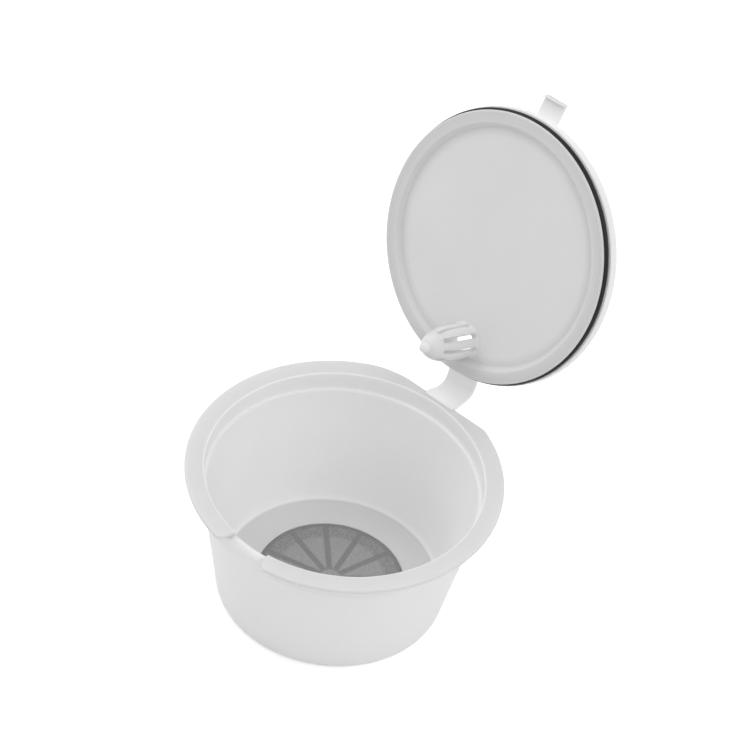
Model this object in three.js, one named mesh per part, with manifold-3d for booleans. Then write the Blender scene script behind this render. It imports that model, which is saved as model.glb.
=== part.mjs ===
// A refillable coffee pod with a strap-hinged lid, standing open.
//
// The cup and its lid are one moulding: a soft strap joins the rim to the lid. The lid swings,
// so the moulding is made here as two solids that meet at the fold in the strap.
// Sizes are in millimetres. +Z is up, the origin is the middle of the underside, the hinge is
// towards +Y and the pull tab's notch towards -Y.

import * as THREE from 'three';
import { mergeVertices } from 'three/addons/utils/BufferGeometryUtils.js';
import Module from 'manifold-3d';

const wasm = await Module();
wasm.setup();

// Clearances

const TOUCH_GAP = 0.3;            // between pieces that rest on each other
const SEAL_GAP = 0.25;            // round the sealing ring in its groove

// Cup

const CUP_HEIGHT = 27.4;
const BASE_RADIUS = 19.6;
const BASE_FILLET = 1.2;
const WALL = 1.0;
const FLOOR_HEIGHT = 1.4;
const FLOOR_FILLET = 1.1;

// Rim: a flat flange outside, and a straight seat for the lid inside a thicker collar

const RIM_RADIUS = 27.0;
const RIM_WIDTH = 3.3;            // from the rim's outer edge to the seat
const RIM_THICKNESS = 0.8;
const RIM_EDGE = 0.25;
const WALL_TOP_STEP = 0.8;        // the outer wall, carried up to the rim, past the seat
const COLLAR_WALL = 1.6;
const COLLAR_LENGTH = 3.7;        // below the top of the rim
const COLLAR_CHAMFER = 0.8;
const SEAT_DRAFT = 0.1;
const SEAT_DEPTH = 3.3;
const FLAT_CUT = 2.0;             // how much the flat side takes off the rim
const NOTCH_HALF_WIDTH = 3.7;
const NOTCH_CORNER = 3.3;

// Filter floor: a woven steel disc over moulded spokes

const SPOKE_COUNT = 12;
const SPOKE_WIDTH = 1.0;
const SPOKE_HEIGHT = 0.75;
const HUB_RADIUS = 2.5;
const FILTER_RADIUS = 13.0;
const FILTER_THICKNESS = 0.3;
const FILTER_SEAT = 0.9;          // width of the ledge that carries the disc's edge

// Lid, sized in its closed place

const LID_CLEARANCE = 0.3;        // from the plug to the narrowest part of the seat
const LID_THICKNESS = 3.5;
const LID_EDGE = 0.4;
const LID_DISC = 1.2;             // thickness of the lid's middle
const LID_WALL = 2.1;             // the ring round the lid's sunken top
const LID_PLATE_STEP = 0.6;       // how far the plate, which stops on the rim, stands out
const DISH_DEPTH = 0.8;
const DISH_RIM = 2.9;             // width of the ring round the dished underside
const PLUG_LIP = 0.35;
const SEAL_SECTION = 0.5;         // radius of the sealing ring's round section
const SEAL_STAND = 0.15;          // how far the sealing ring stands out past the plug

// Slotted nozzle cage under the lid

const CAGE_PLACE = 17.8;          // from the lid's middle towards the hinge
const CAGE_RADIUS = 2.9;
const CAGE_WALL = 0.9;
const CAGE_STRAIGHT = 7.4;
const CAGE_DOME = 3.1;
const CAGE_SLOT = 0.9;
const CAGE_SLOT_PAIRS = 4;
const CAGE_SLOT_RISE = 1.4;       // how far the slots run up into the dome
const NUB_RADIUS = 0.85;
const NUB_LENGTH = 0.5;

// Pull tab on the lid, opposite the hinge

const TAB_LENGTH = 3.5;           // past the edge of the lid
const TAB_WIDTH = 4.5;
const TAB_THICKNESS = 0.8;
const TAB_RISE = 1.15;            // the tab slants up, clear of the rim
const TAB_LIP = 0.4;

// Strap hinge

const STRAP_WIDTH = 6.0;
const STRAP_THICKNESS = 0.55;
const STRAP_ROOT = 1.7;           // how far each half runs into what carries it
const STRAP_SINK = 0.1;           // the cup's half, below the top of the rim
const STRAP_SEAT = 0.2;           // the lid's half, sunk into the lid's top
const HINGE_REACH = 2.72;         // from the flat side of the rim to the fold
const HINGE_RISE = 0.63;          // from the top of the rim to the fold
const HINGE_TILT = 4.65;          // degrees; the soft strap stands a little twisted
const OPEN_ANGLE = 112.9;         // degrees from shut to the pose shown

const SMOOTH = 72;                // facets round a large circle
const FINE = 24;                  // facets round the cage

// Sizes that follow

const rimUnderside = CUP_HEIGHT - RIM_THICKNESS;
const ledge = CUP_HEIGHT - SEAT_DEPTH;
const collarFoot = CUP_HEIGHT - COLLAR_LENGTH;
const seatTopRadius = RIM_RADIUS - RIM_WIDTH;
const seatRadius = seatTopRadius - SEAT_DRAFT;
const wallTopRadius = seatRadius + WALL_TOP_STEP;
const collarRadius = seatRadius + COLLAR_WALL;
const hingeFlat = RIM_RADIUS - FLAT_CUT;
const pocketRadius = FILTER_RADIUS + TOUCH_GAP;
const windowRadius = pocketRadius - FILTER_SEAT;
const grooveHeight = 2 * (SEAL_SECTION + SEAL_GAP);
const plugRadius = seatRadius - LID_CLEARANCE;
const lidRadius = plugRadius + LID_PLATE_STEP;
const recessRadius = lidRadius - LID_WALL;
const plateBottom = CUP_HEIGHT + TOUCH_GAP;
const grooveFloor = plateBottom - grooveHeight;
const lidBottom = grooveFloor - PLUG_LIP;
const lidTop = lidBottom + LID_THICKNESS;
const dish = lidBottom + DISH_DEPTH;
const discTop = dish + LID_DISC;
const sealRadius = plugRadius + SEAL_STAND - SEAL_SECTION;
const grooveRadius = sealRadius - SEAL_SECTION - SEAL_GAP;
const tabReach = lidRadius + TAB_LENGTH;
const hingeY = hingeFlat + HINGE_REACH;
const hingeZ = CUP_HEIGHT + HINGE_RISE;

function outerWall(height) {
  return BASE_RADIUS + (wallTopRadius - BASE_RADIUS) * height / rimUnderside;
}

// Geometry helpers

function solidOf(geometry) {
  const bare = geometry.clone();
  bare.deleteAttribute('normal');
  bare.deleteAttribute('uv');
  const merged = mergeVertices(bare, 1e-4);
  const index = merged.index.array;
  const faces = [];
  for (let i = 0; i < index.length; i += 3) {
    const [a, b, c] = [index[i], index[i + 1], index[i + 2]];
    if (a !== b && b !== c && c !== a) faces.push(a, b, c);
  }
  return new wasm.Manifold(new wasm.Mesh({
    numProp: 3,
    vertProperties: Float32Array.from(merged.attributes.position.array),
    triVerts: Uint32Array.from(faces),
  }));
}

function geometryOf(solid) {
  const { vertProperties, triVerts, numProp } = solid.getMesh();
  const positions = [];
  for (let i = 0; i < vertProperties.length; i += numProp) {
    positions.push(vertProperties[i], vertProperties[i + 1], vertProperties[i + 2]);
  }
  const geometry = new THREE.BufferGeometry();
  geometry.setAttribute('position', new THREE.Float32BufferAttribute(positions, 3));
  geometry.setIndex(Array.from(triVerts));
  return geometry;
}

// A profile of corners [r, z, fillet radius], each fillet a true arc
function roundCorners(corners, steps = 3) {
  const points = [];
  corners.forEach(([x, y, radius = 0], i) => {
    const corner = new THREE.Vector2(x, y);
    if (radius === 0) {
      points.push(corner);
      return;
    }
    const back = new THREE.Vector2(...corners[i - 1]).sub(corner).normalize();
    const ahead = new THREE.Vector2(...corners[i + 1]).sub(corner).normalize();
    const half = Math.acos(back.dot(ahead)) / 2;
    const start = corner.clone().addScaledVector(back, radius / Math.tan(half));
    const end = corner.clone().addScaledVector(ahead, radius / Math.tan(half));
    const middle = back.clone().add(ahead).normalize();
    const centre = corner.clone().addScaledVector(middle, radius / Math.sin(half));
    const from = start.sub(centre).angle();
    let sweep = end.sub(centre).angle() - from;
    if (sweep > Math.PI) sweep -= 2 * Math.PI;
    if (sweep < -Math.PI) sweep += 2 * Math.PI;
    for (let step = 0; step <= steps; step += 1) {
      const angle = from + sweep * step / steps;
      points.push(new THREE.Vector2(Math.cos(angle), Math.sin(angle)).multiplyScalar(radius).add(centre));
    }
  });
  return points;
}

// Revolves a profile of (r, z) points, given from the axis outwards and up, about Z
function revolve(points, facets = SMOOTH) {
  return new THREE.LatheGeometry(points, facets).rotateX(Math.PI / 2);
}

function extrudeUp(shape, bottom, top, curveSegments = 12) {
  return new THREE.ExtrudeGeometry(shape, { depth: top - bottom, bevelEnabled: false, curveSegments })
    .translate(0, 0, bottom);
}

// Extrudes a side view, drawn in Y and Z, across the middle plane along X
function extrudeAcross(shape, width) {
  const acrossX = new THREE.Matrix4().makeBasis(
    new THREE.Vector3(0, 1, 0), new THREE.Vector3(0, 0, 1), new THREE.Vector3(1, 0, 0));
  return new THREE.ExtrudeGeometry(shape, { depth: width, bevelEnabled: false, curveSegments: 8 })
    .applyMatrix4(acrossX)
    .translate(-width / 2, 0, 0);
}

// Cup

function cupBody() {
  const wallAt = (height) => outerWall(height) - WALL;
  return revolve(roundCorners([
    [0, 0],
    [BASE_RADIUS, 0, BASE_FILLET],
    [outerWall(collarFoot - COLLAR_CHAMFER), collarFoot - COLLAR_CHAMFER],
    [collarRadius, collarFoot],
    [collarRadius, rimUnderside],
    [RIM_RADIUS, rimUnderside, RIM_EDGE],
    [RIM_RADIUS, CUP_HEIGHT, RIM_EDGE],
    [seatTopRadius, CUP_HEIGHT, RIM_EDGE],
    [seatRadius, ledge],
    [wallAt(ledge), ledge, RIM_EDGE],
    [wallAt(FLOOR_HEIGHT), FLOOR_HEIGHT, FLOOR_FILLET],
    [pocketRadius, FLOOR_HEIGHT],
    [pocketRadius, SPOKE_HEIGHT],
    [0, SPOKE_HEIGHT],
  ]));
}

// One opening between two spokes: the sides run parallel to the spokes
function floorWindow(index) {
  const halfPitch = Math.PI / SPOKE_COUNT;
  const outerHalf = halfPitch - Math.asin(SPOKE_WIDTH / 2 / windowRadius);
  const innerHalf = halfPitch - Math.asin(SPOKE_WIDTH / 2 / HUB_RADIUS);
  const shape = new THREE.Shape();
  shape.absarc(0, 0, windowRadius, -outerHalf, outerHalf, false);
  shape.absarc(0, 0, HUB_RADIUS, innerHalf, -innerHalf, true);
  return extrudeUp(shape, -1, FLOOR_HEIGHT, 4).rotateZ(index * 2 * halfPitch);
}

function rimFlat() {
  const width = 2 * RIM_RADIUS;
  const height = COLLAR_LENGTH + 2 * COLLAR_CHAMFER;
  return new THREE.BoxGeometry(width, width, height)
    .translate(0, hingeFlat + width / 2, CUP_HEIGHT - COLLAR_LENGTH + height / 2 - COLLAR_CHAMFER);
}

// The gap in the rim that the pull tab drops into, with rounded corners at its mouth
function tabNotch() {
  const mouth = NOTCH_HALF_WIDTH + NOTCH_CORNER;
  const cornerY = NOTCH_CORNER - RIM_RADIUS;
  const inside = -seatRadius / 2;
  const outside = -RIM_RADIUS - 1;
  const shape = new THREE.Shape();
  shape.moveTo(-NOTCH_HALF_WIDTH, inside);
  shape.lineTo(-NOTCH_HALF_WIDTH, cornerY);
  shape.absarc(-mouth, cornerY, NOTCH_CORNER, 0, -Math.PI / 2, true);
  shape.lineTo(-mouth, outside);
  shape.lineTo(mouth, outside);
  shape.absarc(mouth, cornerY, NOTCH_CORNER, -Math.PI / 2, -Math.PI, true);
  shape.lineTo(NOTCH_HALF_WIDTH, inside);
  return extrudeUp(shape, rimUnderside, CUP_HEIGHT + 1, 6);
}

function cupStrap() {
  const root = hingeFlat - STRAP_ROOT / 3;
  const tip = hingeY - STRAP_THICKNESS;
  const top = CUP_HEIGHT - STRAP_SINK;
  const shape = new THREE.Shape();
  shape.moveTo(root, top - STRAP_THICKNESS);
  shape.lineTo(tip, top - STRAP_THICKNESS);
  shape.lineTo(tip, top);
  shape.lineTo(root, top);
  return extrudeAcross(shape, STRAP_WIDTH);
}

function makeCup() {
  let cup = solidOf(cupBody()).subtract(solidOf(rimFlat())).subtract(solidOf(tabNotch()));
  for (let i = 0; i < SPOKE_COUNT; i += 1) {
    cup = cup.subtract(solidOf(floorWindow(i)));
  }
  return geometryOf(cup.add(solidOf(cupStrap())));
}

// Filter

function makeFilter() {
  return new THREE.CylinderGeometry(FILTER_RADIUS, FILTER_RADIUS, FILTER_THICKNESS, SMOOTH)
    .rotateX(Math.PI / 2)
    .translate(0, 0, SPOKE_HEIGHT + TOUCH_GAP + FILTER_THICKNESS / 2);
}

// Lid, in its closed place on the cup

function lidBody() {
  const dishRadius = plugRadius - DISH_RIM;
  return revolve(roundCorners([
    [0, dish],
    [dishRadius, dish, DISH_DEPTH],
    [dishRadius + DISH_DEPTH, lidBottom],
    [plugRadius, lidBottom, PLUG_LIP / 2],
    [plugRadius, grooveFloor],
    [grooveRadius, grooveFloor],
    [grooveRadius, plateBottom],
    [lidRadius, plateBottom],
    [lidRadius, lidTop, LID_EDGE],
    [recessRadius, lidTop, LID_EDGE / 2],
    [recessRadius, discTop, LID_EDGE],
    [0, discTop],
  ]));
}

// The cage's outside: a round nub, a domed end and a straight barrel
function cageBody() {
  const straightEnd = dish - CAGE_STRAIGHT;
  const domeEnd = straightEnd - CAGE_DOME;
  const nubCentre = domeEnd - NUB_LENGTH;
  const nub = new THREE.EllipseCurve(0, nubCentre, NUB_RADIUS, NUB_RADIUS, -Math.PI / 2, 0);
  const dome = new THREE.EllipseCurve(
    NUB_RADIUS, straightEnd, CAGE_RADIUS - NUB_RADIUS, CAGE_DOME, -Math.PI / 2 + 0.25, 0);
  return revolve([
    new THREE.Vector2(0, nubCentre - NUB_RADIUS),
    ...nub.getPoints(4).slice(1),
    ...dome.getPoints(6),
    new THREE.Vector2(CAGE_RADIUS, dish + LID_DISC / 2),
    new THREE.Vector2(0, dish + LID_DISC / 2),
  ], FINE).translate(0, CAGE_PLACE, 0);
}

// The needle's way: a hole through the lid that runs down inside the cage
function cageBore() {
  const bottom = dish - CAGE_STRAIGHT - CAGE_SLOT_RISE - CAGE_SLOT / 4;
  return new THREE.CylinderGeometry(CAGE_RADIUS - CAGE_WALL, CAGE_RADIUS - CAGE_WALL, discTop + 1 - bottom, FINE)
    .rotateX(Math.PI / 2)
    .translate(0, CAGE_PLACE, (discTop + 1 + bottom) / 2);
}

function cageSlot(index) {
  const height = CAGE_STRAIGHT + CAGE_SLOT_RISE;
  return new THREE.BoxGeometry(CAGE_SLOT, 3 * CAGE_RADIUS, height)
    .rotateZ((index + 0.5) * Math.PI / CAGE_SLOT_PAIRS)
    .translate(0, CAGE_PLACE, dish - height / 2);
}

// The cage is slotted by itself and then joined to the lid, and the bore goes through both
function withCage(lid) {
  let cage = solidOf(cageBody());
  for (let i = 0; i < CAGE_SLOT_PAIRS; i += 1) {
    cage = cage.subtract(solidOf(cageSlot(i)));
  }
  return lid.add(cage).subtract(solidOf(cageBore()));
}

// The pull tab's side view: a slanted tongue with a grip lip under its end
function pullTab() {
  const root = LID_WALL / 2 - lidRadius;
  const lipRise = TAB_RISE * (1 - TAB_LIP / TAB_LENGTH);
  const underside = lidTop - TAB_THICKNESS;
  const shape = new THREE.Shape();
  shape.moveTo(root, underside);
  shape.lineTo(TAB_LIP - tabReach, underside + lipRise);
  shape.lineTo(TAB_LIP - tabReach, underside + lipRise - TAB_LIP);
  shape.lineTo(-tabReach, underside + TAB_RISE - TAB_LIP);
  shape.lineTo(-tabReach, lidTop + TAB_RISE);
  shape.lineTo(root, lidTop);
  return extrudeAcross(shape, TAB_WIDTH);
}

// The lid's half of the strap lies on the lid's top, then curls down to the fold
function lidStrap() {
  const root = lidRadius - STRAP_ROOT;
  const inner = lidTop - STRAP_SEAT - hingeZ;
  const outer = inner + STRAP_THICKNESS;
  const curlY = hingeY - (inner + outer) / 2;
  const shape = new THREE.Shape();
  shape.moveTo(root, hingeZ + inner);
  shape.lineTo(curlY, hingeZ + inner);
  shape.absarc(curlY, hingeZ, inner, Math.PI / 2, 0, true);
  shape.absarc(curlY, hingeZ, outer, 0, Math.PI / 2, false);
  shape.lineTo(root, hingeZ + outer);
  return extrudeAcross(shape, STRAP_WIDTH);
}

function makeLid() {
  const lid = solidOf(lidBody()).add(solidOf(pullTab())).add(solidOf(lidStrap()));
  return geometryOf(withCage(lid));
}

function makeSeal() {
  return new THREE.TorusGeometry(sealRadius, SEAL_SECTION, 10, SMOOTH)
    .translate(0, 0, grooveFloor + grooveHeight / 2);
}

// Materials

const frostedPlastic = new THREE.MeshStandardMaterial({ color: 0xe6e6e6, roughness: 0.55, metalness: 0 });
const steelWeave = new THREE.MeshStandardMaterial({ color: 0x8c8c8c, roughness: 0.45, metalness: 0.9 });
const blackRubber = new THREE.MeshStandardMaterial({ color: 0x0a0a0a, roughness: 0.6, metalness: 0 });

function piece(name, geometry, material) {
  const mesh = new THREE.Mesh(geometry, material);
  mesh.name = name;
  return mesh;
}

// Assembly: the lid's pieces turn together about the fold in the strap

const tilt = THREE.MathUtils.degToRad(HINGE_TILT);
const hingeAxis = new THREE.Vector3(-Math.cos(tilt), 0, -Math.sin(tilt));
const hingePoint = new THREE.Vector3(0, hingeY, hingeZ);

const closedLid = new THREE.Group();
closedLid.position.copy(hingePoint).negate();
closedLid.add(piece('lid', makeLid(), frostedPlastic));
closedLid.add(piece('seal_ring', makeSeal(), blackRubber));

const openLid = new THREE.Group();
openLid.position.copy(hingePoint);
openLid.setRotationFromAxisAngle(hingeAxis, THREE.MathUtils.degToRad(OPEN_ANGLE));
openLid.add(closedLid);

const pod = new THREE.Group();
pod.add(piece('cup', makeCup(), frostedPlastic));
pod.add(piece('filter_mesh', makeFilter(), steelWeave));
pod.add(openLid);

export default pod;
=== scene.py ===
# %% [markdown]
# # A refillable coffee pod in frosted plastic
#
# The pod is one soft moulding: a tapered cup, a thin strap and a lid that stands open. A disc of
# woven steel lies in the cup's floor and a black rubber ring sits round the lid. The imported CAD
# model gives each piece its place, and this lesson gives it round edges and a real finish.

# %% Load the frame
import math

import bmesh
import bpy
from mathutils import Matrix, Quaternion, Vector


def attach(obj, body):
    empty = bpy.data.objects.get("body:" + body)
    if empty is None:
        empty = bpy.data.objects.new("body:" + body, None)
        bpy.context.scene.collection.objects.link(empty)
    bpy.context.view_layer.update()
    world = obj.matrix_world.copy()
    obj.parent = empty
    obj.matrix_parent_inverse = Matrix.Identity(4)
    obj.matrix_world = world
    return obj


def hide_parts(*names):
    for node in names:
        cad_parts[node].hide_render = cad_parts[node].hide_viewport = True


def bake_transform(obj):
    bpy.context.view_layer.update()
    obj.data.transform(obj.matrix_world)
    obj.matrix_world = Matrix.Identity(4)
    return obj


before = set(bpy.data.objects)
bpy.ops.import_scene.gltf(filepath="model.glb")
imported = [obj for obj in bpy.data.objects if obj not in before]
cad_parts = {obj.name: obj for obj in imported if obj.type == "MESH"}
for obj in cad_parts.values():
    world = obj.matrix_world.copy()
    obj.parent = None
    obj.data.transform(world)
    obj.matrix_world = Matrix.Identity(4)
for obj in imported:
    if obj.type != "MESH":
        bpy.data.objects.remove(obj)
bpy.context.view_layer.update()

print("CAD nodes:", ", ".join(sorted(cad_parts)))

# %% [markdown]
# ## Sizes
#
# Blender works in metres and the pod is drawn in millimetres, so one number changes the unit. The
# sizes of the cup are those of the solid model. The filter disc, the nozzle cage and the edges of
# the lid were measured once more in the photograph, so some of theirs differ a little from it.

# %% Sizes of the cup
MM = 0.001

CUP_HEIGHT = 27.4
BASE_RADIUS = 19.6
WALL_TOP_RADIUS = 24.4
WALL = 1.0
FLOOR_HEIGHT = 1.4
RIM_RADIUS = 27.0
RIM_THICKNESS = 0.8
RIM_EDGE = 0.25
BASE_EDGE = 1.2
FLOOR_FILLET = 1.1
POCKET_EDGE = 0.12
COLLAR_EDGE = 0.25
COLLAR_FILLET = 0.2
SEAT_FILLET = 0.2
COLLAR_RADIUS = 25.2
COLLAR_LENGTH = 3.7
COLLAR_CHAMFER = 0.8
SEAT_RADIUS = 23.6
SEAT_DRAFT = 0.1
SEAT_DEPTH = 3.3
HINGE_FLAT = 25.0
NOTCH_HALF_WIDTH = 3.7
NOTCH_CORNER = 3.3
NOTCH_STRAIGHT = 0.05              # what stays straight beside its round corner

rim_underside = CUP_HEIGHT - RIM_THICKNESS
ledge = CUP_HEIGHT - SEAT_DEPTH
collar_foot = CUP_HEIGHT - COLLAR_LENGTH
seat_top = SEAT_RADIUS + SEAT_DRAFT


def outer_wall(height):
    """Radius of the tapered wall's outside at a height above the table."""
    return BASE_RADIUS + (WALL_TOP_RADIUS - BASE_RADIUS) * height / rim_underside


def inner_wall(height):
    return outer_wall(height) - WALL


print("The wall leans outwards by", round(outer_wall(collar_foot) - outer_wall(0), 2), "mm")

# %% Sizes of the filter floor
SPOKE_COUNT = 12
SPOKE_WIDTH = 1.0
SPOKE_HEIGHT = 0.75
SPOKE_SINK = 0.02                  # a spoke's faces lie this far inside those of the hub and floor
SPOKE_ROOT = 0.4                   # how far a spoke's end runs into the floor
HUB_RADIUS = 2.5
FILTER_RADIUS = 12.75
FILTER_THICKNESS = 0.3
FILTER_EDGE = 0.3                  # how softly the disc's top rolls down to its rim
FILTER_ROLL = 0.5                  # and how far from the rim it starts
FILTER_CORNER = 0.1
FILTER_DROP = 0.08                 # how much lower its rim ends
FILTER_LIFT = 0.3                  # air between the spokes and the disc
FILTER_GAP = 0.1                   # and between its rim and its pocket
FILTER_SEAT = 0.45                 # width of the ledge under its rim

pocket_radius = FILTER_RADIUS + FILTER_GAP
window_radius = pocket_radius - FILTER_SEAT
sector = 2 * math.pi / SPOKE_COUNT

# %% Sizes of the lid, in its closed place
LID_BOTTOM = 25.85
LID_THICKNESS = 3.5
LID_EDGE = 0.4
LID_RADIUS = 23.8
PLUG_RADIUS = 23.3
PLUG_LIP = 0.42
PLUG_EDGE = 0.06
RECESS_RADIUS = 21.8
DISH_DEPTH = 0.8
DISH_RADIUS = 20.4
DISH_EDGE = 0.3
LID_DISC = 1.2
GROOVE_RADIUS = 22.4
GROOVE_HEIGHT = 1.2
GROOVE_EDGE = 0.1
SEAL_RADIUS = 23.05
SEAL_SECTION = 0.56

lid_top = LID_BOTTOM + LID_THICKNESS
dish = LID_BOTTOM + DISH_DEPTH
disc_top = dish + LID_DISC
groove_floor = LID_BOTTOM + PLUG_LIP
groove_top = groove_floor + GROOVE_HEIGHT

CAGE_PLACE = 17.95
CAGE_RADIUS = 3.05
CAGE_WALL = 0.9
CAGE_STRAIGHT = 4.2
CAGE_DOME = 6.2
CAGE_SLOT = 0.8
CAGE_SLOT_PAIRS = 4
CAGE_SLOT_LENGTH = 7.9
CAGE_FOOT = 0.05                   # what stays uncut between the slots and the lid
CAGE_DRAFT = 0.05
FLARE = 0.45                       # how far the foot spreads where it meets the lid
FLARE_HEIGHT = 0.3
FLARE_FILLET = 0.2
NUB_RADIUS = 0.95
NUB_LENGTH = 0.35
NUB_FILLET = 0.12
NUB_SKIRT = 0.25                   # the dome starts this far outside the nub

TAB_LENGTH = 3.5
TAB_WIDTH = 4.4
TAB_THICKNESS = 0.8
TAB_RISE = 1.15
TAB_LIP = 0.4
TAB_EAR = 0.06                     # the grip lip is this much wider at each side
TAB_ROOT = 1.05                    # how far the tongue runs into the lid
TAB_EDGE = 0.19

tab_reach = LID_RADIUS + TAB_LENGTH

# %% The hinge, which carries everything that belongs to the lid
HINGE_POINT = Vector((0, 27.72, 28.03))
HINGE_TILT = math.radians(4.65)
OPEN_ANGLE = math.radians(112.9)

hinge_axis = Vector((-math.cos(HINGE_TILT), 0, -math.sin(HINGE_TILT)))
turn_open = Matrix.Rotation(OPEN_ANGLE, 4, hinge_axis)
open_lid = Matrix.Translation(HINGE_POINT) @ turn_open @ Matrix.Translation(-HINGE_POINT)

print("The lid stands", round(math.degrees(OPEN_ANGLE), 1), "degrees from shut")

# %% [markdown]
# ## Camera
#
# The photograph looks down at the pod from its right front with a long lens, and the camera was
# turned a little in the hand, so the pod leans in the picture. The camera is placed by the point
# it looks at, its distance and three angles.

# %% Camera
AIM = Vector((-12.44, 22.32, 26.37)) * MM
CAMERA_DISTANCE = 690.61 * MM
CAMERA_AZIMUTH = math.radians(-55)
CAMERA_ELEVATION = math.radians(43.95)
CAMERA_ROLL = math.radians(8.32)
LENS = 192
SENSOR = 36


def make_camera():
    outwards = Vector((
        math.cos(CAMERA_ELEVATION) * math.cos(CAMERA_AZIMUTH),
        math.cos(CAMERA_ELEVATION) * math.sin(CAMERA_AZIMUTH),
        math.sin(CAMERA_ELEVATION)))
    level = Vector((-math.sin(CAMERA_AZIMUTH), math.cos(CAMERA_AZIMUTH), 0))
    upright = outwards.cross(level)
    right = math.cos(CAMERA_ROLL) * level + math.sin(CAMERA_ROLL) * upright
    up = outwards.cross(right)
    camera = bpy.data.objects.new("camera", bpy.data.cameras.new("camera"))
    camera.data.lens = LENS
    camera.data.sensor_width = SENSOR
    turn = Matrix((right, up, outwards)).transposed().to_4x4()
    camera.matrix_world = Matrix.Translation(AIM + outwards * CAMERA_DISTANCE) @ turn
    bpy.context.scene.collection.objects.link(camera)
    bpy.context.scene.camera = camera
    return camera


print("Camera at", [round(v, 3) for v in make_camera().location], "m")

# %% [markdown]
# ## Drawing materials
#
# A material is a tree of nodes. Built by hand that is long to read, so a small class wraps a
# socket and lets sums be written as sums: each operator adds its Math node.

# %% Sums in a material
class Wire:
    """A value in a material. Arithmetic on it adds Math nodes."""

    def __init__(self, finish, socket):
        self.finish = finish
        self.socket = socket

    def maths(self, operation, *others):
        values = dict(enumerate((self, *others)))
        return self.finish.node("ShaderNodeMath", {"operation": operation}, values)

    def __add__(self, other):
        return self.maths("ADD", other)

    def __sub__(self, other):
        return self.maths("SUBTRACT", other)

    def __mul__(self, other):
        return self.maths("MULTIPLY", other)

    def __truediv__(self, other):
        return self.maths("DIVIDE", other)

    def __rsub__(self, other):
        return self * -1 + other

    __radd__ = __add__
    __rmul__ = __mul__


# %% A material and its nodes
class Finish:
    """A material: a Principled shader and the nodes that feed it."""

    def __init__(self, name, **constants):
        self.material = bpy.data.materials.new(name)
        self.material.use_nodes = True
        self.tree = self.material.node_tree
        self.shader = self.tree.nodes["Principled BSDF"]
        for socket, value in constants.items():
            self.shader.inputs[socket.replace("_", " ").title().replace("Ior", "IOR")].default_value = value

    def node(self, kind, settings, values, output=0):
        """Adds a node: its settings first, then the value or the link of each named socket."""
        node = self.tree.nodes.new(kind)
        for setting, value in settings.items():
            setattr(node, setting, value)
        sockets = {socket.identifier: socket for socket in node.inputs}
        for key, value in values.items():
            socket = node.inputs[key] if isinstance(key, int) else sockets.get(key) or node.inputs[key]
            if isinstance(value, Wire):
                self.tree.links.new(value.socket, socket)
            else:
                socket.default_value = value
        return Wire(self, node.outputs[output])

    def place(self, stretch=(1, 1, 1)):
        """The point on the piece in millimetres, so that a pattern keeps its real size."""
        point = self.node("ShaderNodeTexCoord", {}, {}, "Object")
        scale = tuple(factor / MM for factor in stretch)
        return self.node("ShaderNodeVectorMath", {"operation": "MULTIPLY"}, {0: point, 1: scale})

    def axis(self, point, letter):
        return self.node("ShaderNodeSeparateXYZ", {}, {0: point}, letter)

    def noise(self, point, size, detail=2.0):
        """Soft noise whose blots are about size millimetres across, from 0 to 1."""
        values = {"Vector": point, "Scale": 1 / size, "Detail": detail, "Roughness": 0.5}
        return self.node("ShaderNodeTexNoise", {}, values, "Fac")

    def ease(self, value, low, high):
        """0 below low and 1 above high, with a soft change between them."""
        settings = {"interpolation_type": "SMOOTHSTEP"}
        values = {"Value": value, "From Min": low, "From Max": high}
        return self.node("ShaderNodeMapRange", settings, values)

    def mix(self, factor, first, second):
        settings = {"data_type": "RGBA"}
        return self.node("ShaderNodeMix", settings,
                         {"Factor_Float": factor, "A_Color": first, "B_Color": second}, 2)

    def feed(self, **wires):
        for socket, wire in wires.items():
            self.tree.links.new(wire.socket, self.shader.inputs[socket.replace("_", " ")])

    def bump(self, height, depth, strength=1.0):
        """Relief of the given depth in millimetres."""
        values = {"Height": height, "Distance": depth * MM, "Strength": strength}
        return self.node("ShaderNodeBump", {}, values, "Normal")


def grey(level):
    return (level, level, level, 1.0)


# %% [markdown]
# ## Frosted plastic
#
# The moulding is natural polypropylene: milky, evenly grey-white and a little see-through, so
# light spreads inside its thin walls and shadows on it are soft. Subsurface scattering does that
# with a plain number. A slow cloudiness in the colour, a fine spark-eroded grain and a trace of
# flow lines keep it from looking like paint. Shade is also painted into the colour: each piece
# marks with a number at its points how much, mostly where the moulding is thick or folded into a
# corner and lets less light through, and that number darkens the colour towards grey. In the thin
# nozzle cage light spreads furthest. Light can't spread from one mesh into another, so the
# strap has a finish in which it hardly spreads, or its root would show as a dark line.

# %% Frosted plastic
PAINTED_SHADE_NAME = "painted_shade"                    # the name of the number that marks painted shade


def frosted_plastic(name, depth, roughness):
    """The plastic, in which light spreads to a depth in millimetres."""
    finish = Finish(name, ior=1.49, subsurface_weight=0.7, subsurface_radius=(1.0, 1.0, 1.0),
                    subsurface_scale=depth * MM, specular_ior_level=0.35)
    point = finish.place()
    cloud = finish.noise(point, 14.0, 1.0)
    flow = finish.noise(finish.place((1, 1, 0.2)), 3.0)
    grain = finish.noise(point, 0.28, 3.0)
    tone = finish.ease(cloud * 0.45 + flow * 0.15 + grain * 0.4, 0.32, 0.68)
    painted_shade = finish.node("ShaderNodeAttribute", {"attribute_name": PAINTED_SHADE_NAME}, {}, "Fac")
    finish.feed(
        # Painted shade: the marked number mixes the colour towards mid grey.
        Base_Color=finish.mix(painted_shade, finish.mix(tone, grey(0.935), grey(0.972)), grey(0.5)),
        Roughness=roughness + grain * 0.12 + cloud * 0.08,
        Normal=finish.bump(grain + flow * 0.4, 0.01, 0.5))
    return finish.material


frosted = frosted_plastic("frosted_moulding", 1.3, 0.40)
thin = frosted_plastic("thin_moulding", 4.0, 0.30)
soft = frosted_plastic("soft_strap", 0.5, 0.40)
print("Materials:", frosted.name, thin.name, soft.name)
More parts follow.
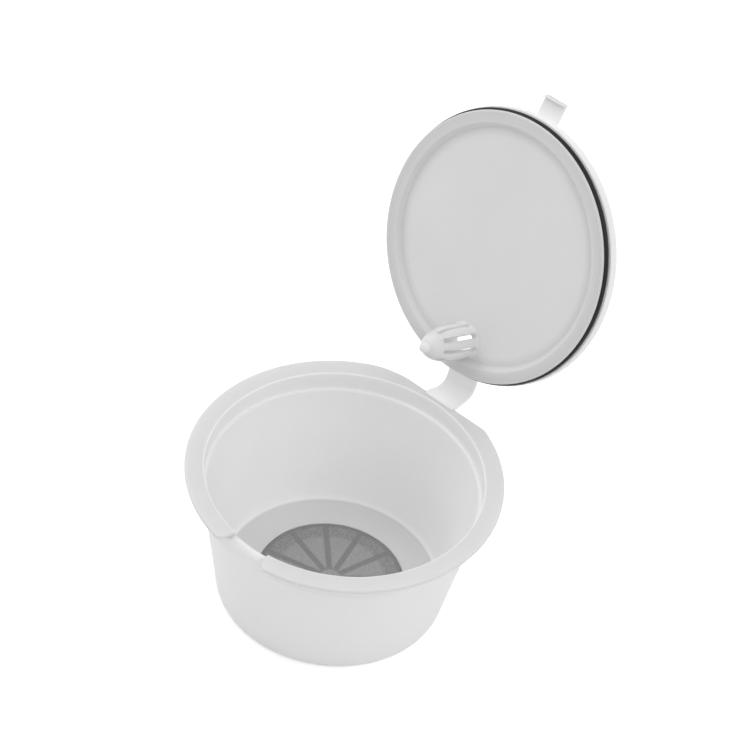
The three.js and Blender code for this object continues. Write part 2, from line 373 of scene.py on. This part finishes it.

# %% [markdown]
# ## Woven steel
#
# The filter is a plain weave of wires as thin as a hair, a quarter of a millimetre apart. Each
# wire goes over one neighbour and under the next. A hundred wires each way would be far too many
# faces, so the weave is a relief in the material: two waves at right angles, and a chequer that
# decides which wire is on top. Over the spokes and at the edge plastic lies under the weave, and
# there the weave is painted darker as painted shade, for the light the plastic keeps from coming
# through. A wider band round the edge is painted a little darker too, as painted shadow. The
# openings between the wires are painted nearly black as painted shade, and lighter specks are
# scattered at random over the wires.

# %% Woven steel
WIRE_PITCH = 0.26
SHADOW_BAND_RADIUS = 9.6                 # radius outside which the weave is painted darker, as painted shadow


def woven_steel():
    finish = Finish("woven_steel", ior=1.5)
    point = finish.place()
    x = finish.axis(point, "X")
    y = finish.axis(point, "Y")
    along = (x * (math.pi / WIRE_PITCH)).maths("SINE").maths("ABSOLUTE")
    across = (y * (math.pi / WIRE_PITCH)).maths("SINE").maths("ABSOLUTE")
    over = (x * (math.pi / WIRE_PITCH)).maths("SINE") * (y * (math.pi / WIRE_PITCH)).maths("SINE")
    top = finish.ease(over, -0.3, 0.3)
    relief = (along * top + across * (1 - top)) * 0.7 + (along * across) * 0.3
    hole = 1 - finish.ease(along.maths("MAXIMUM", across), 0.25, 0.6)
    radius = (x * x + y * y).maths("SQRT")
    turn = y.maths("ARCTAN2", x) / sector
    beside = ((turn - turn.maths("FLOOR")) - 0.5).maths("ABSOLUTE") * sector
    # Painted shade where plastic lies under the weave: over the spokes off the hub, and round the edge.
    spoke = 1 - finish.ease(beside.maths("SINE") * radius, SPOKE_WIDTH * 0.38, SPOKE_WIDTH * 0.66)
    off_hub = finish.ease(radius, HUB_RADIUS - 0.9, HUB_RADIUS - 0.4)
    edge = finish.ease(radius, window_radius - 0.6, window_radius - 0.2)
    filled_and_shaded = (spoke * off_hub).maths("MAXIMUM", edge)
    uneven = finish.noise(point, 0.32, 4.0)
    # Painted shadow: a band round the edge is darker.
    shadow_band = finish.ease(radius, SHADOW_BAND_RADIUS - 0.5, SHADOW_BAND_RADIUS + 0.5)
    banded_tone = finish.mix(shadow_band, grey(0.375), grey(0.30))
    wires = finish.mix(filled_and_shaded, banded_tone, grey(0.25))
    # Lighter specks at random over the wires.
    speckled = finish.mix(finish.ease(uneven, 0.4, 0.65) * (0.35 - filled_and_shaded * 0.22), wires, grey(0.56))
    finish.feed(
        # Painted shade: the openings between the wires are painted nearly black.
        Base_Color=finish.mix(hole * 0.45, speckled, grey(0.05)),
        Metallic=0.5 - filled_and_shaded * 0.3,
        Roughness=0.38 + uneven * 0.2,
        Normal=finish.bump(relief, 0.05, 0.6))
    return finish.material


steel = woven_steel()
print("The weave has", round(2 * FILTER_RADIUS / WIRE_PITCH), "wires each way")

# %% [markdown]
# ## Black rubber
#
# The ring is soft rubber, nearly black, with a satin skin. A fine grain breaks up its highlight.

# %% Black rubber
def black_rubber():
    finish = Finish("satin_rubber", ior=1.5, specular_ior_level=0.35)
    point = finish.place()
    grain = finish.noise(point, 0.12, 3.0)
    dust = finish.noise(point, 1.8)
    finish.feed(
        Base_Color=finish.mix(dust, grey(0.006), grey(0.014)),
        Roughness=0.45 + grain * 0.15,
        Normal=finish.bump(grain, 0.01, 0.5))
    return finish.material


rubber = black_rubber()

# %% [markdown]
# ## Helpers for round pieces
#
# Nearly every form here is turned: a side view of half the piece, spun about the axis. The side
# view is a wire of corners. A bevel of a wire's corner is an arc, so the rounding is done on the
# wire, once, and the spin carries it round. A cutter reaches a little past what it cuts.

# %% Turning a side view
TURN_STEPS = 192
CORNER_STEPS = 10                  # faces in the round corner of a plan
CUTTER_REACH = 1.0


def side_view(corners, arc_steps):
    """A wire through corners of radius, height and, where it is round, the rounding's radius."""
    bm = bmesh.new()
    points = [bm.verts.new((corner[0], 0, corner[1])) for corner in corners]
    for first, second in zip(points, points[1:]):
        bm.edges.new((first, second))
    places = [point.co.copy() for point in points]
    for index, (point, corner) in enumerate(zip(points, corners)):
        if len(corner) == 3:
            half = (places[index - 1] - places[index]).angle(places[index + 1] - places[index]) / 2
            bmesh.ops.bevel(bm, geom=[point], offset=corner[2] / math.tan(half), segments=arc_steps,
                            profile=0.5, affect="VERTICES", material=-1)
    return bm


def turned(corners, centre=(0, 0, 0), steps=TURN_STEPS, arc_steps=4):
    """A closed solid: the side view spun about an upright axis through centre."""
    bm = side_view(corners, arc_steps)
    bmesh.ops.spin(bm, geom=bm.verts[:] + bm.edges[:], cent=(0, 0, 0), axis=(0, 0, 1),
                   angle=2 * math.pi, steps=steps, use_merge=True)
    bmesh.ops.remove_doubles(bm, verts=bm.verts, dist=1e-5)
    bmesh.ops.translate(bm, verts=bm.verts, vec=centre)
    bmesh.ops.recalc_face_normals(bm, faces=bm.faces)
    return bm


def block(low, high, turn=Matrix()):
    """A box between two corners, turned about the origin after it is placed."""
    bm = bmesh.new()
    bmesh.ops.create_cube(bm, size=1)
    size = Vector(high) - Vector(low)
    bmesh.ops.scale(bm, verts=bm.verts, vec=size)
    bmesh.ops.translate(bm, verts=bm.verts, vec=(Vector(low) + Vector(high)) / 2)
    bmesh.ops.transform(bm, verts=bm.verts, matrix=turn)
    return bm


def prism(plan, low, high, rounded, setback):
    """A plan between two heights, whose corners of the given numbers are rounded."""
    bm = bmesh.new()
    corners = [bm.verts.new((x, y, low)) for x, y in plan]
    bm.faces.new(corners)
    bmesh.ops.bevel(bm, geom=[corners[number] for number in rounded], offset=setback,
                    segments=CORNER_STEPS, profile=0.5, affect="VERTICES", material=-1)
    lifted = bmesh.ops.extrude_face_region(bm, geom=bm.faces[:])
    top = [item for item in lifted["geom"] if isinstance(item, bmesh.types.BMVert)]
    bmesh.ops.translate(bm, verts=top, vec=(0, 0, high - low))
    bmesh.ops.recalc_face_normals(bm, faces=bm.faces)
    return bm


# %% From a mesh to a piece
SMOOTH_BELOW = math.radians(35)
NEAR = 0.1                         # a point this near a surface counts as on it


def draft_object(name, bm):
    mesh = bpy.data.meshes.new(name)
    bm.to_mesh(mesh)
    bm.free()
    thing = bpy.data.objects.new(name, mesh)
    bpy.context.scene.collection.objects.link(thing)
    return thing


def cut(thing, operation, bm):
    """Joins another closed mesh to this one, or takes it away."""
    tool = draft_object("tool", bm)
    step = thing.modifiers.new("cut", "BOOLEAN")
    step.operation = operation
    step.solver = "EXACT"
    step.object = tool
    shaped = thing.evaluated_get(bpy.context.evaluated_depsgraph_get())
    mesh = bpy.data.meshes.new_from_object(shaped)
    thing.modifiers.clear()
    thing.data = mesh
    bpy.data.objects.remove(tool)


def mark_painted_shade(thing, share):
    """Marks how much painted shade each point gets, by a function of radius and height."""
    marks = thing.data.attributes.new(PAINTED_SHADE_NAME, "FLOAT", "POINT")
    for mark, vert in zip(marks.data, thing.data.vertices):
        mark.value = share(vert.co.xy.length, vert.co.z)


def coat(thing, material):
    thing.data.materials.clear()
    thing.data.materials.append(material)


def finish_piece(thing, place=Matrix()):
    """Puts the mesh in metres and in its place, and shades it smooth."""
    thing.data.transform(Matrix.Scale(MM, 4) @ place)
    thing.data.shade_smooth()
    thing.data.set_sharp_from_angle(angle=SMOOTH_BELOW)
    even = thing.modifiers.new("even_normals", "WEIGHTED_NORMAL")
    even.keep_sharp = True
    thing.data.name = thing.name
    print(thing.name, "has", len(thing.data.polygons), "faces")
    return thing


# %% [markdown]
# ## The cup
#
# The cup is turned: a tapered wall a millimetre thick, a thicker collar under a flat rim, and a
# straight seat inside it for the lid's plug, down to a small ledge. Then the rim loses a flat on
# the hinge's side and a notch on the other side, which the pull tab drops into. Both are plain
# cutters taken away, as a mould's inserts would leave them.

# %% The turned cup
def cup_body():
    return turned([
        (0, 0),
        (BASE_RADIUS, 0, BASE_EDGE),
        (outer_wall(collar_foot - COLLAR_CHAMFER), collar_foot - COLLAR_CHAMFER),
        (COLLAR_RADIUS, collar_foot, COLLAR_EDGE),
        (COLLAR_RADIUS, rim_underside, COLLAR_FILLET),
        (RIM_RADIUS, rim_underside, RIM_EDGE),
        (RIM_RADIUS, CUP_HEIGHT, RIM_EDGE),
        (seat_top, CUP_HEIGHT, RIM_EDGE),
        (SEAT_RADIUS, ledge, SEAT_FILLET),
        (inner_wall(ledge), ledge, RIM_EDGE),
        (inner_wall(FLOOR_HEIGHT), FLOOR_HEIGHT, FLOOR_FILLET),
        (pocket_radius, FLOOR_HEIGHT, POCKET_EDGE),
        (pocket_radius, SPOKE_HEIGHT),
        (0, SPOKE_HEIGHT)])


cup = draft_object("cup_shell", cup_body())

# %% The flat and the notch in the rim
FLAT_CORNER = 15.0                 # at one end the flat rolls softly into the rim


def rim_flat():
    """What lies beyond the flat, with the roll at one end as a rounded corner of its plan."""
    reach = 2 * RIM_RADIUS
    roll_turn = math.acos((HINGE_FLAT - FLAT_CORNER) / (RIM_RADIUS - FLAT_CORNER))
    setback = FLAT_CORNER * math.tan(roll_turn / 2)
    corner = Vector((-RIM_RADIUS * math.sin(roll_turn) + setback * math.cos(roll_turn), HINGE_FLAT))
    beyond = corner - 2 * setback * Vector((math.cos(roll_turn), math.sin(roll_turn)))
    plan = [beyond, corner, (reach, HINGE_FLAT), (reach, reach), (beyond.x, reach)]
    return prism(plan, collar_foot - COLLAR_CHAMFER, CUP_HEIGHT + CUTTER_REACH, [1], setback)


def tab_notch():
    """A plug of the gap's plan: a block whose outer corners flare into the rim's edge."""
    half = NOTCH_HALF_WIDTH
    mouth = half + NOTCH_CORNER
    beyond = -RIM_RADIUS - CUTTER_REACH
    left = [(-half, -SEAT_RADIUS / 2), (-half, -RIM_RADIUS), (-mouth, -RIM_RADIUS), (-mouth, beyond)]
    right = [(-x, y) for x, y in reversed(left)]
    return prism(left + right, rim_underside, CUP_HEIGHT + CUTTER_REACH, [1, 6],
                 NOTCH_CORNER - NOTCH_STRAIGHT)


cut(cup, "DIFFERENCE", rim_flat())
cut(cup, "DIFFERENCE", tab_notch())

# %% [markdown]
# ## The filter floor
#
# The floor is open except for a hub and twelve spokes that carry the steel disc. One round opening
# is cut, and then the hub and the spokes are joined in again, each spoke running a little way into
# the floor. An exact join goes wrong where two faces coincide, so the faces of the spokes lie a
# hair inside those of the floor and the hub.

# %% Windows and spokes
def floor_opening():
    low = -CUTTER_REACH
    high = SPOKE_HEIGHT + CUTTER_REACH
    return turned([(0, low), (window_radius, low), (window_radius, high), (0, high)])


def spider():
    """The hub, and the spokes as blocks turned round it."""
    half = SPOKE_WIDTH / 2
    hub = [(0, 0), (HUB_RADIUS, 0), (HUB_RADIUS, SPOKE_HEIGHT), (0, SPOKE_HEIGHT)]
    wheel = draft_object("spider", turned(hub, steps=48))
    reach = window_radius + SPOKE_ROOT
    for index in range(SPOKE_COUNT // 2):
        turn = Matrix.Rotation((index + 0.5) * sector, 4, "Z")
        low = (-reach, -half, SPOKE_SINK)
        high = (reach, half, SPOKE_HEIGHT - SPOKE_SINK)
        cut(wheel, "UNION", block(low, high, turn))
    bm = bmesh.new()
    bm.from_mesh(wheel.data)
    bpy.data.objects.remove(wheel)
    return bm


cut(cup, "DIFFERENCE", floor_opening())
cut(cup, "UNION", spider())


# Painted shade on the cup, as shares of grey mixed into its colour.
RIM_SHADE = 0.52
INNER_EDGE_SHADE = 0.12
FLOOR_SHADE = 0.44
OUTSIDE_SHADE = 0.14
LEDGE_SHADE = 0.14


def cup_painted_shade(radius, height):
    """Painted shade: most on the rim and the floor, a little at the rim's inner edge, at the ledge and on
    the outside.
    """
    if height > rim_underside - NEAR:
        return RIM_SHADE if radius > seat_top + RIM_EDGE * 0.9 else INNER_EDGE_SHADE
    floor = 0 < height < FLOOR_HEIGHT + NEAR and radius < BASE_RADIUS - WALL
    outside = radius > outer_wall(height) - WALL / 2
    at_ledge = abs(height - ledge) < RIM_EDGE + NEAR / 2 and radius < SEAT_RADIUS - RIM_EDGE
    return FLOOR_SHADE * floor + OUTSIDE_SHADE * outside + LEDGE_SHADE * at_ledge


mark_painted_shade(cup, cup_painted_shade)
coat(cup, frosted)
finish_piece(cup)
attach(cup, "cup_body")
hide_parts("cup")

# %% [markdown]
# ## The woven steel disc
#
# The disc is thin and flat, and it lies just over the spokes, in a shallow pocket in the floor. Its
# top rolls down a little at the rim, where it was cut and pressed.

# %% The steel disc
def weave_disc():
    low = SPOKE_HEIGHT + FILTER_LIFT
    high = low + FILTER_THICKNESS
    return turned([
        (0, low),
        (FILTER_RADIUS, low, FILTER_CORNER),
        (FILTER_RADIUS, high - FILTER_DROP, FILTER_CORNER / 2),
        (FILTER_RADIUS - FILTER_ROLL, high, FILTER_EDGE),
        (SHADOW_BAND_RADIUS, high),
        (0, high)])


weave = draft_object("woven_disc", weave_disc())
coat(weave, steel)
finish_piece(weave)
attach(weave, "cup_body")
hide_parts("filter_mesh")

# %% [markdown]
# ## The lid
#
# The lid is turned too, in its closed place over the cup: a plug with a dished underside, a groove
# for the sealing ring and a sunken top. The pull tab is a flat tongue with a grip lip.

# %% The turned lid and its tab
DISH_MIDDLE = DISH_RADIUS - 3.0    # the dish's plain middle ends here


def lid_body():
    return turned([
        (0, dish),
        (DISH_MIDDLE, dish),
        (DISH_RADIUS - 2 * DISH_DEPTH, dish),
        (DISH_RADIUS, dish, DISH_DEPTH),
        (DISH_RADIUS + DISH_DEPTH, LID_BOTTOM, DISH_EDGE),
        (PLUG_RADIUS, LID_BOTTOM, PLUG_LIP / 2),
        (PLUG_RADIUS, groove_floor, PLUG_EDGE),
        (GROOVE_RADIUS, groove_floor, GROOVE_EDGE),
        (GROOVE_RADIUS, groove_top, GROOVE_EDGE),
        (LID_RADIUS, groove_top, GROOVE_EDGE),
        (LID_RADIUS, lid_top, LID_EDGE),
        (RECESS_RADIUS, lid_top, LID_EDGE / 2),
        (RECESS_RADIUS, disc_top, LID_EDGE),
        (0, disc_top)])


def pull_tab():
    """The tongue, with the grip lip drawn down from its end, its edges rounded, slanted up."""
    half = TAB_WIDTH / 2
    underside = lid_top - TAB_THICKNESS
    root = TAB_ROOT - LID_RADIUS
    bm = block((-half, TAB_LIP - tab_reach, underside), (half, root, lid_top))
    end = [face for face in bm.faces if face.normal.y < -0.9]
    for pull in ((0, -TAB_LIP, 0), (0, 0, -TAB_LIP)):
        drawn = bmesh.ops.extrude_face_region(bm, geom=end)
        bmesh.ops.delete(bm, geom=end, context="FACES_ONLY")
        moved = [item for item in drawn["geom"] if isinstance(item, bmesh.types.BMVert)]
        bmesh.ops.translate(bm, verts=moved, vec=pull)
        bm.normal_update()
        end = [face for face in bm.faces
               if face.normal.z < -0.9 and face.calc_center_median().y < TAB_LIP - tab_reach]
    lip = [vert for vert in bm.verts if vert.co.y < -tab_reach + TAB_LIP / 2]
    bmesh.ops.scale(bm, verts=lip, vec=(1 + TAB_EAR / half, 1, 1))
    sharp = [edge for edge in bm.edges if edge.calc_face_angle(0) > 1]
    bmesh.ops.bevel(bm, geom=sharp, offset=TAB_EDGE, offset_type="OFFSET", segments=3, profile=0.5,
                    affect="EDGES", material=-1)
    slope = -TAB_RISE / (tab_reach + root)
    slant = Matrix(((1, 0, 0, 0), (0, 1, 0, 0), (0, slope, 1, -slope * root), (0, 0, 0, 1)))
    bmesh.ops.transform(bm, verts=bm.verts, matrix=slant)
    bmesh.ops.recalc_face_normals(bm, faces=bm.faces)
    return bm


lid = draft_object("lid_shell", lid_body())
cut(lid, "UNION", pull_tab())

# %% [markdown]
# ## The nozzle cage
#
# A hollow needle pierces the pod here and the water sprays out through the slots. The cage is a
# small thimble with a long domed end and a round nub, hollow for the needle, with eight slots round
# it. It is turned about its own axis, joined to the lid, bored right through and then slotted.

# %% The cage
CAGE_STEPS = 64
DOME_STEPS = 12
SLOT_REACH = 0.2
SLOT_ROUND = 0.7                   # how round a slot's ends are, as a share of half its width

cage_tip = dish - CAGE_STRAIGHT - CAGE_DOME


def dome(radius, length):
    """The side view of a dome from its middle to its straight wall, as radius and height."""
    turns = [math.pi / 2 * step / DOME_STEPS for step in range(1, DOME_STEPS + 1)]
    return [(radius * math.sin(turn), dish - CAGE_STRAIGHT - length * math.cos(turn)) for turn in turns]


def cage_body():
    nub_end = cage_tip - NUB_LENGTH - NUB_RADIUS / 2
    outside = [corner for corner in dome(CAGE_RADIUS, CAGE_DOME) if corner[0] > NUB_RADIUS + NUB_SKIRT]
    return turned([
        (0, nub_end),
        (NUB_RADIUS, nub_end, NUB_RADIUS * 0.95),
        (NUB_RADIUS, cage_tip + NUB_LENGTH, NUB_FILLET),
        *outside,
        (CAGE_RADIUS + CAGE_DRAFT, dish - FLARE_HEIGHT, FLARE_FILLET),
        (CAGE_RADIUS + FLARE, dish + FLARE_FILLET / 2),
        (CAGE_RADIUS, dish + LID_DISC / 2),
        (0, dish + LID_DISC / 2)], centre=(0, CAGE_PLACE, 0), steps=CAGE_STEPS, arc_steps=8)


def cage_bore():
    inside = dome(CAGE_RADIUS - CAGE_WALL, CAGE_DOME - CAGE_WALL)
    top = disc_top + CUTTER_REACH
    return turned([(0, cage_tip + CAGE_WALL), *inside, (inside[-1][0], top), (0, top)],
                  centre=(0, CAGE_PLACE, 0), steps=CAGE_STEPS)


def cage_slot(index):
    """One slot, cut right through both sides of the cage, with rounded ends."""
    half = CAGE_SLOT / 2
    reach = CAGE_RADIUS + SLOT_REACH
    bm = block((-half, -reach, dish - CAGE_SLOT_LENGTH), (half, reach, dish - CAGE_FOOT))
    ends = [edge for edge in bm.edges if abs(edge.verts[0].co.y - edge.verts[1].co.y) > reach]
    bmesh.ops.bevel(bm, geom=ends, offset=half * SLOT_ROUND, offset_type="OFFSET", segments=4,
                    profile=0.5, affect="EDGES", material=-1)
    turn = Matrix.Rotation(index * math.pi / CAGE_SLOT_PAIRS, 4, "Z")
    bmesh.ops.transform(bm, verts=bm.verts, matrix=Matrix.Translation((0, CAGE_PLACE, 0)) @ turn)
    return bm


cut(lid, "UNION", cage_body())
cut(lid, "DIFFERENCE", cage_bore())
for slot in range(CAGE_SLOT_PAIRS):
    cut(lid, "DIFFERENCE", cage_slot(slot))


# Painted shade on the lid, as shares of grey mixed into its colour.
TAB_SHADE = 0.5
LID_SHADE = 0.37
DISH_CORNER_SHADE = 0.18
DISH_CORNER_REACH = 1.3
DISH_CORNER_SHIFT = 0.15
PLUG_SHADE = 0.14


def lid_painted_shade(radius, height):
    """Painted shade: the underside lets less light through than the cup and is painted darker, most in the
    dish's corner; the plug and the tab are painted darker too.
    """
    if height > disc_top - NEAR or radius > PLUG_RADIUS + NEAR:
        return TAB_SHADE if radius > LID_RADIUS + 3 * NEAR else 0.0
    corner = max(0, 1 - abs(radius - DISH_RADIUS + DISH_CORNER_SHIFT) / DISH_CORNER_REACH)
    plug = PLUG_SHADE * (radius > DISH_RADIUS + 3 * NEAR)
    return LID_SHADE + max(corner * DISH_CORNER_SHADE, plug)


def mark_cage(thing, material):
    """Gives the faces of the cage a material of their own."""
    thing.data.materials.append(material)
    middle = Vector((0, CAGE_PLACE))
    for face in thing.data.polygons:
        beside = (face.center.xy - middle).length < CAGE_RADIUS + 3 * NEAR
        face.material_index = int(beside and face.center.z < dish)


mark_painted_shade(lid, lid_painted_shade)
coat(lid, frosted)
mark_cage(lid, thin)
finish_piece(lid, open_lid)
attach(lid, "lid_body")
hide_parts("lid")

# %% [markdown]
# ## The sealing ring
#
# The ring is a plain round section, stretched into the plug's groove. It is a circle spun about
# the lid's axis, with the fine flash line that its mould leaves outside.

# %% The sealing ring
FLASH = 0.03


def seal_ring():
    bm = bmesh.new()
    centre = Vector((SEAL_RADIUS, 0, groove_floor + GROOVE_HEIGHT / 2))
    upright = Matrix.Translation(centre) @ Matrix.Rotation(math.pi / 2, 4, "X")
    bmesh.ops.create_circle(bm, segments=20, radius=SEAL_SECTION, matrix=upright)
    outermost = max(bm.verts, key=lambda vert: vert.co.x)
    outermost.co.x += FLASH
    bmesh.ops.spin(bm, geom=bm.verts[:] + bm.edges[:], cent=(0, 0, 0), axis=(0, 0, 1),
                   angle=2 * math.pi, steps=TURN_STEPS, use_merge=True)
    bmesh.ops.recalc_face_normals(bm, faces=bm.faces)
    return bm


seal = draft_object("rubber_ring", seal_ring())
coat(seal, rubber)
finish_piece(seal, open_lid)
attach(seal, "lid_body")
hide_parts("seal_ring")

# %% [markdown]
# ## The strap
#
# One soft strip joins the rim to the lid and bends between them, so it is the one piece that
# crosses the joint. It is a flat grid laid along a path, row by row: flat on the rim, round the
# bend, and up the lid's back. Each row has a place and a turn between those of the two ends, so
# the strip also takes up the small twist with which the lid stands. Solidify gives it its
# thickness, and the two ends run into the rim and the lid.

# %% The strap's path
STRAP_THICKNESS = 0.55
STRAP_LEFT = 2.5                   # from its middle to its left edge, on the rim
STRAP_RIGHT = 3.1
STRAP_END = 3.2                    # from its middle to either edge, on the lid
STRAP_WEB = 0.7                    # what the small web at the root adds on the left
STRAP_ROWS = 64
STRAP_COLUMNS = 8
STRAP_STAND = 0.05                 # how far its top stands above the rim
STRAP_DIVE = 0.1                   # and how far its root dives into it
BOW = (4.8, 5.5)                   # how far the bend reaches from each end
BOW_TILT = math.radians(6.8)       # the strap comes down on the lid at this slant
RIM_ROOT_START = 1.1               # how far inside the flat's edge its root starts
RIM_ROOT_END = 0.2                 # and how far past that edge it stays flat
LID_ROOT_PLACE = Vector((0.15, 22.4, lid_top + 0.3))
LID_ROOT_LENGTH = 1.6
WEB_LENGTH = 1.1
BEND_STEPS = 40
STRAP_EDGE = 0.14

strap_height = CUP_HEIGHT + STRAP_STAND - STRAP_THICKNESS / 2
rim_root = Vector((0, HINGE_FLAT - RIM_ROOT_START, strap_height - STRAP_DIVE))
bend_start = Vector((0, HINGE_FLAT + RIM_ROOT_END, strap_height))
bend_end = open_lid @ LID_ROOT_PLACE
lid_turn = turn_open.to_quaternion() @ Quaternion((1, 0, 0), math.pi + BOW_TILT)
rim_along = Vector((0, 1, 0))
lid_along = lid_turn @ rim_along
lid_root = bend_end + lid_along * LID_ROOT_LENGTH

flat_length = (bend_start - rim_root).length
lid_length = (lid_root - bend_end).length


def bend_point(share):
    """A point on the smooth curve from the rim's line to the lid's line."""
    second = bend_start + rim_along * BOW[0]
    third = bend_end - lid_along * BOW[1]
    rest = 1 - share
    return (bend_start * rest ** 3 + second * 3 * rest ** 2 * share
            + third * 3 * rest * share ** 2 + bend_end * share ** 3)


bend_steps = [bend_point(step / BEND_STEPS) for step in range(BEND_STEPS + 1)]
bend_length = sum((after - before).length for before, after in zip(bend_steps, bend_steps[1:]))
strap_length = flat_length + bend_length + lid_length
print("The strap is", round(strap_length, 1), "mm long")


def ease(share):
    return share * share * (3 - 2 * share)


def strap_row(distance):
    """The place and turn of the strap at a distance from its root on the rim."""
    share = min(max((distance - flat_length) / bend_length, 0), 1)
    if distance < flat_length:
        centre = rim_root.lerp(bend_start, distance / flat_length)
    elif share < 1:
        centre = bend_point(share)
    else:
        centre = bend_end + lid_along * (distance - flat_length - bend_length)
    turn = Quaternion().slerp(lid_turn, ease(share))
    return Matrix.Translation(centre) @ turn.to_matrix().to_4x4()


# %% The strap
def strap_sheet():
    bm = bmesh.new()
    bmesh.ops.create_grid(bm, x_segments=STRAP_COLUMNS, y_segments=STRAP_ROWS, size=0.5)
    for row in range(STRAP_ROWS + 1):
        height = row / STRAP_ROWS - 0.5
        verts = [vert for vert in bm.verts if abs(vert.co.y - height) < 0.2 / STRAP_ROWS and not vert.tag]
        distance = strap_length * row / STRAP_ROWS
        share = ease(distance / strap_length)
        web = STRAP_WEB * math.exp(-((max(distance - flat_length, 0) / WEB_LENGTH) ** 2))
        left = STRAP_LEFT + (STRAP_END - STRAP_LEFT) * share + web
        right = STRAP_RIGHT + (STRAP_END - STRAP_RIGHT) * share
        for vert in verts:
            vert.tag = True
            vert.co = Vector((2 * vert.co.x * (left if vert.co.x < 0 else right), 0, 0))
        bmesh.ops.transform(bm, verts=verts, matrix=strap_row(distance))
    bmesh.ops.recalc_face_normals(bm, faces=bm.faces)
    return bm


strap = draft_object("hinge_strap", strap_sheet())
strap.data.transform(Matrix.Scale(MM, 4))
coat(strap, soft)
strap.data.shade_smooth()
walls = strap.modifiers.new("walls", "SOLIDIFY")
walls.thickness = STRAP_THICKNESS * MM
walls.offset = 0
walls.use_even_offset = True
rounds = strap.modifiers.new("rounds", "BEVEL")
rounds.width = STRAP_EDGE * MM
rounds.segments = 3
rounds.limit_method = "ANGLE"
rounds.angle_limit = math.radians(50)
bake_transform(strap)

# %% [markdown]
# ## Floor and light
#
# The pod stands on a wide white table in even light, as in a light tent. The sky is a plain pale
# grey and two large soft lamps give its sides a little shape. The camera sees the table and the
# sky as white, and the table still takes the pod's shadow.

# %% The table
TABLE_SIZE = 3.0
TABLE_GLOW = 0.45


def table_material():
    finish = Finish("white_table", roughness=0.9, specular_ior_level=0.1)
    seen = finish.node("ShaderNodeLightPath", {}, {}, "Is Camera Ray")
    glossy = finish.node("ShaderNodeLightPath", {}, {}, "Is Glossy Ray")
    glow = finish.mix(seen.maths("MAXIMUM", glossy), grey(0.0), grey(1.0))
    finish.shader.inputs["Base Color"].default_value = grey(0.8)
    finish.shader.inputs["Emission Strength"].default_value = TABLE_GLOW
    finish.feed(Emission_Color=glow)
    return finish.material


def make_table():
    bm = bmesh.new()
    bmesh.ops.create_grid(bm, x_segments=1, y_segments=1, size=TABLE_SIZE / 2 / MM)
    table = draft_object("table", bm)
    table.data.transform(Matrix.Scale(MM, 4))
    table.data.materials.append(table_material())
    return table


make_table()

# %% The light
SKY = 0.64
LAMP_SIZE = 0.6


def make_sky():
    world = bpy.data.worlds.new("light_tent")
    bpy.context.scene.world = world
    world.use_nodes = True
    nodes = world.node_tree.nodes
    links = world.node_tree.links
    background = nodes["Background"]
    background.inputs["Color"].default_value = grey(1.0)
    path = nodes.new("ShaderNodeLightPath")
    strength = nodes.new("ShaderNodeMapRange")
    strength.inputs["To Min"].default_value = SKY
    links.new(path.outputs["Is Camera Ray"], strength.inputs["Value"])
    links.new(strength.outputs["Result"], background.inputs["Strength"])


def soft_lamp(name, place, power):
    lamp = bpy.data.objects.new(name, bpy.data.lights.new(name, "AREA"))
    lamp.data.size = LAMP_SIZE
    lamp.data.energy = power
    lamp.location = place
    lamp.rotation_euler = (-Vector(place)).to_track_quat("-Z", "Y").to_euler()
    bpy.context.scene.collection.objects.link(lamp)


make_sky()
soft_lamp("left_window", (-0.55, 0.0, 0.6), 1.95)
soft_lamp("right_window", (0.5, 0.05, 0.6), 1.4)
bpy.context.scene.view_settings.view_transform = "Standard"
